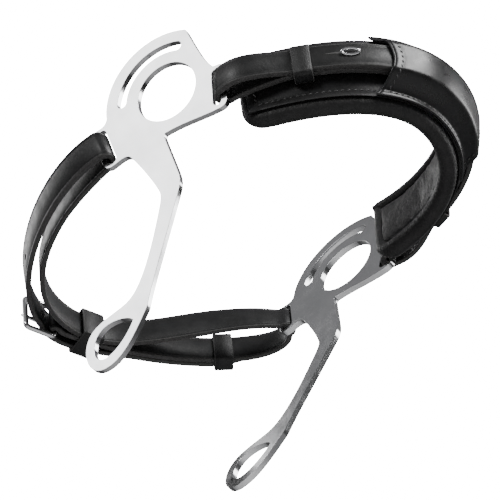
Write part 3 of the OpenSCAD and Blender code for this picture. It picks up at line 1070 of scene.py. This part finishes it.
for s, tag, where in ((-1, "near", "left"), (1, "far", "right")):
    piece = strap("billet_" + tag, billet_path(s), width=BILLET_W)
    rest_on(piece, NB, "black_leather", "billet_" + where)
    # keeper
    i = pad_at(s, sum(KEEPER_K) / 2)
    out, up = pad_out(i)
    along = out.cross(up).normalized()
    low, high = UNDER - STRAP_T / 2 - 0.2, OVER + STRAP_T / 2 + 0.2
    width = (nose_at(KEEPER_K[1]) - nose_at(KEEPER_K[0])).length
    band = leather_band("keeper_" + tag, pad_point(i, (low + high) / 2, BILLET_KEEPER_B),
                        out, up, along, high - low, BILLET_KEEPER_H, width, KEEPER)
    rest_on(band, NB, "black_leather", "billet_keeper_" + where)
    # hook stud: a wire eye that stands out of a slit in the strap
    i = pad_at(s, STUD_K)
    out, up = pad_out(i)
    along = out.cross(up).normalized()
    top = pad_point(i, OVER + STRAP_T / 2 + 0.85, EYE_B)
    eye = [top + along * (EYE_LONG * math.cos(q)) + up * (EYE_WIDE * math.sin(q))
           + out * (EYE_RISE * math.sin(q)) for q in (math.tau * k / 40 for k in range(40))]
    stud = tube("hook_eye_" + tag, eye, EYE_WIRE_R, STEEL, closed=True, sides=12)
    rest_on(stud, NB, "polished_steel", "hook_stud_" + where)
    slit = [pad_point(mix(pad_at(s, SLIT_K[0]), pad_at(s, SLIT_K[1]), k / 10),
                      OVER + STRAP_T / 2, EYE_B) for k in range(11)]
    rest_on(tube("slit_" + tag, slit, lambda t: 0.15 + 0.6 * math.sin(math.pi * t), EDGE, sides=8,
                 flat=0.25, normal=lambda k: out), NB, "black_leather")

# ------------------------------------------------------------------ curb strap

HOLE_R = 1.7
HOLE_DEPTH = 6
HOLE_XS = (-30, -44)
TONGUE_HOLE = V((-9.5, 130.0, STRAP_Z))
KEEPER_H = STRAP_W + 0.8                          # opening of both keepers, up the strap's width
FIXED_KEEPER_AT = V((15.5, 120.6, STRAP_Z))
FIXED_KEEPER_TURN = math.radians(-22)
FIXED_KEEPER_OPEN = 14                            # its opening through the layers of strap
FIXED_KEEPER_W = 12
RUNNING_KEEPER_OPEN = LAYER + STRAP_T + 1.4
RUNNING_KEEPER_W = 9.5
RUNNING_KEEPER_K = 7                              # its station on the outer run


def punch(obj, places):
    """Cuts round holes through the piece at (point, axis)."""
    work = bmesh.new()
    for at, axis in places:
        turn = axis.to_track_quat("Z", "Y").to_matrix().to_4x4()
        bmesh.ops.create_cone(work, cap_ends=True, segments=24, radius1=HOLE_R * MM,
                              radius2=HOLE_R * MM, depth=HOLE_DEPTH * MM,
                              matrix=Matrix.Translation(at * MM) @ turn)
    mesh = bpy.data.meshes.new("punch")
    work.to_mesh(mesh)
    work.free()
    mesh.materials.append(EDGE)
    tool = bpy.data.objects.new("punch", mesh)
    bpy.context.collection.objects.link(tool)
    cut = obj.modifiers.new("holes", "BOOLEAN")
    cut.operation = "DIFFERENCE"
    cut.solver = "EXACT"
    cut.material_mode = "TRANSFER"
    cut.object = tool
    applied(obj)
    bpy.data.objects.remove(tool)


curb_path, lap, outer_left = curb_paths()
curb = strap("curb_strap_leather", curb_path, width_at=tip)
outer_mids = [p for p, _ in outer_left]
holes = []
for x in HOLE_XS:
    spot = [k for k in range(len(outer_mids)) if abs(outer_mids[k].x - x) < 5][0]
    d = direction(outer_mids, spot)
    holes.append((outer_mids[spot], V((-d.y, d.x, 0))))
d = direction(outer_mids, len(outer_mids) - 1)
holes.append((TONGUE_HOLE, V((-d.y, d.x, 0))))
punch(curb, holes)
sharpened(curb, 40)
rest_on(curb, "curb", "black_leather", "curb_strap")

d = V((math.cos(FIXED_KEEPER_TURN), math.sin(FIXED_KEEPER_TURN), 0))
rest_on(leather_band("curb_keeper_near_buckle", FIXED_KEEPER_AT, V((-d.y, d.x, 0)), UP, d,
                     FIXED_KEEPER_OPEN, KEEPER_H, FIXED_KEEPER_W, KEEPER),
        "curb", "black_leather", "curb_keeper_fixed")
d = direction(lap, RUNNING_KEEPER_K)
n = V((-d.y, d.x, 0)).normalized()
on_strap = V((lap[RUNNING_KEEPER_K].x, lap[RUNNING_KEEPER_K].y, STRAP_Z))
rest_on(leather_band("curb_keeper_sliding", on_strap - LAYER / 2 * n, n, UP, d,
                     RUNNING_KEEPER_OPEN, KEEPER_H, RUNNING_KEEPER_W, KEEPER),
        "running_keeper", "black_leather", "curb_keeper_running")

# ------------------------------------------------------------------ buckle

TURN = math.radians(158.0)
FRAME_L = 16.3
FRAME_H = STRAP_W + 1.6 + 2 * PIN_R
FRAME_CORNER = 2.2
FRAME_BAR_R = 1.42
COLLAR_R = 2.05
COLLAR_WIRE_R = 0.5
x_pin = V((math.cos(TURN), math.sin(TURN), 0))
y_pin = V((-math.sin(TURN), math.cos(TURN), 0))


def at_pin(x, y, z):
    """A point of the buckle: x along the frame from its hinge bar, y towards the muzzle."""
    return PIN + x * x_pin + y * y_pin + z * UP


loop = rounded_loop(FRAME_L, FRAME_H, FRAME_CORNER, 7)
ring = [at_pin(x + FRAME_L / 2, 0, z) for x, z in loop]
rest_on(tube("buckle_ring", ring, FRAME_BAR_R, STEEL, closed=True, sides=16),
        "buckle", "polished_steel", "buckle_frame")
prong_end = V((FRAME_L + 1.0, -PIN_R - 1.15, 0))
prong = [at_pin(*p) for p in catmull([V((0.6, -2.3, 0)), V((4, -2.75, 0)), V((9, -2.75, 0)),
                                      V((14, -2.6, 0)), prong_end], 6)]


def prong_r(t):
    """Radius of the prong, which thins towards its tip and rounds off there."""
    return 1.05 - 0.30 * t ** 3 - 0.35 * max(0, t - 0.93) / 0.07


rest_on(tube("buckle_prong", prong, prong_r, STEEL, sides=14),
        "tongue", "polished_steel", "buckle_tongue")
collar = [at_pin(COLLAR_R * math.cos(q), COLLAR_R * math.sin(q), 0)
          for q in (math.tau * k / 32 for k in range(32))]
rest_on(tube("prong_collar", collar, COLLAR_WIRE_R, STEEL, closed=True, sides=10, flat=2.0,
             normal=lambda k: UP), "tongue", "polished_steel")

# ------------------------------------------------------------------ floor

FLOOR_SIZE = 4
FLOOR_Z = -1.32

work = bmesh.new()
bmesh.ops.create_grid(work, x_segments=2, y_segments=2, size=FLOOR_SIZE)
mesh = bpy.data.meshes.new("floor")
work.to_mesh(mesh)
work.free()
floor = bpy.data.objects.new("floor", mesh)
bpy.context.collection.objects.link(floor)
floor.location = (0, 0, FLOOR_Z)
floor_paint = Paint("pale_floor", (0.85, 0.85, 0.85), 0.8)
floor_paint.colour(floor_paint.noise(3), (0.82, 0.82, 0.82), (0.88, 0.88, 0.88))
floor.data.materials.append(floor_paint.mat)
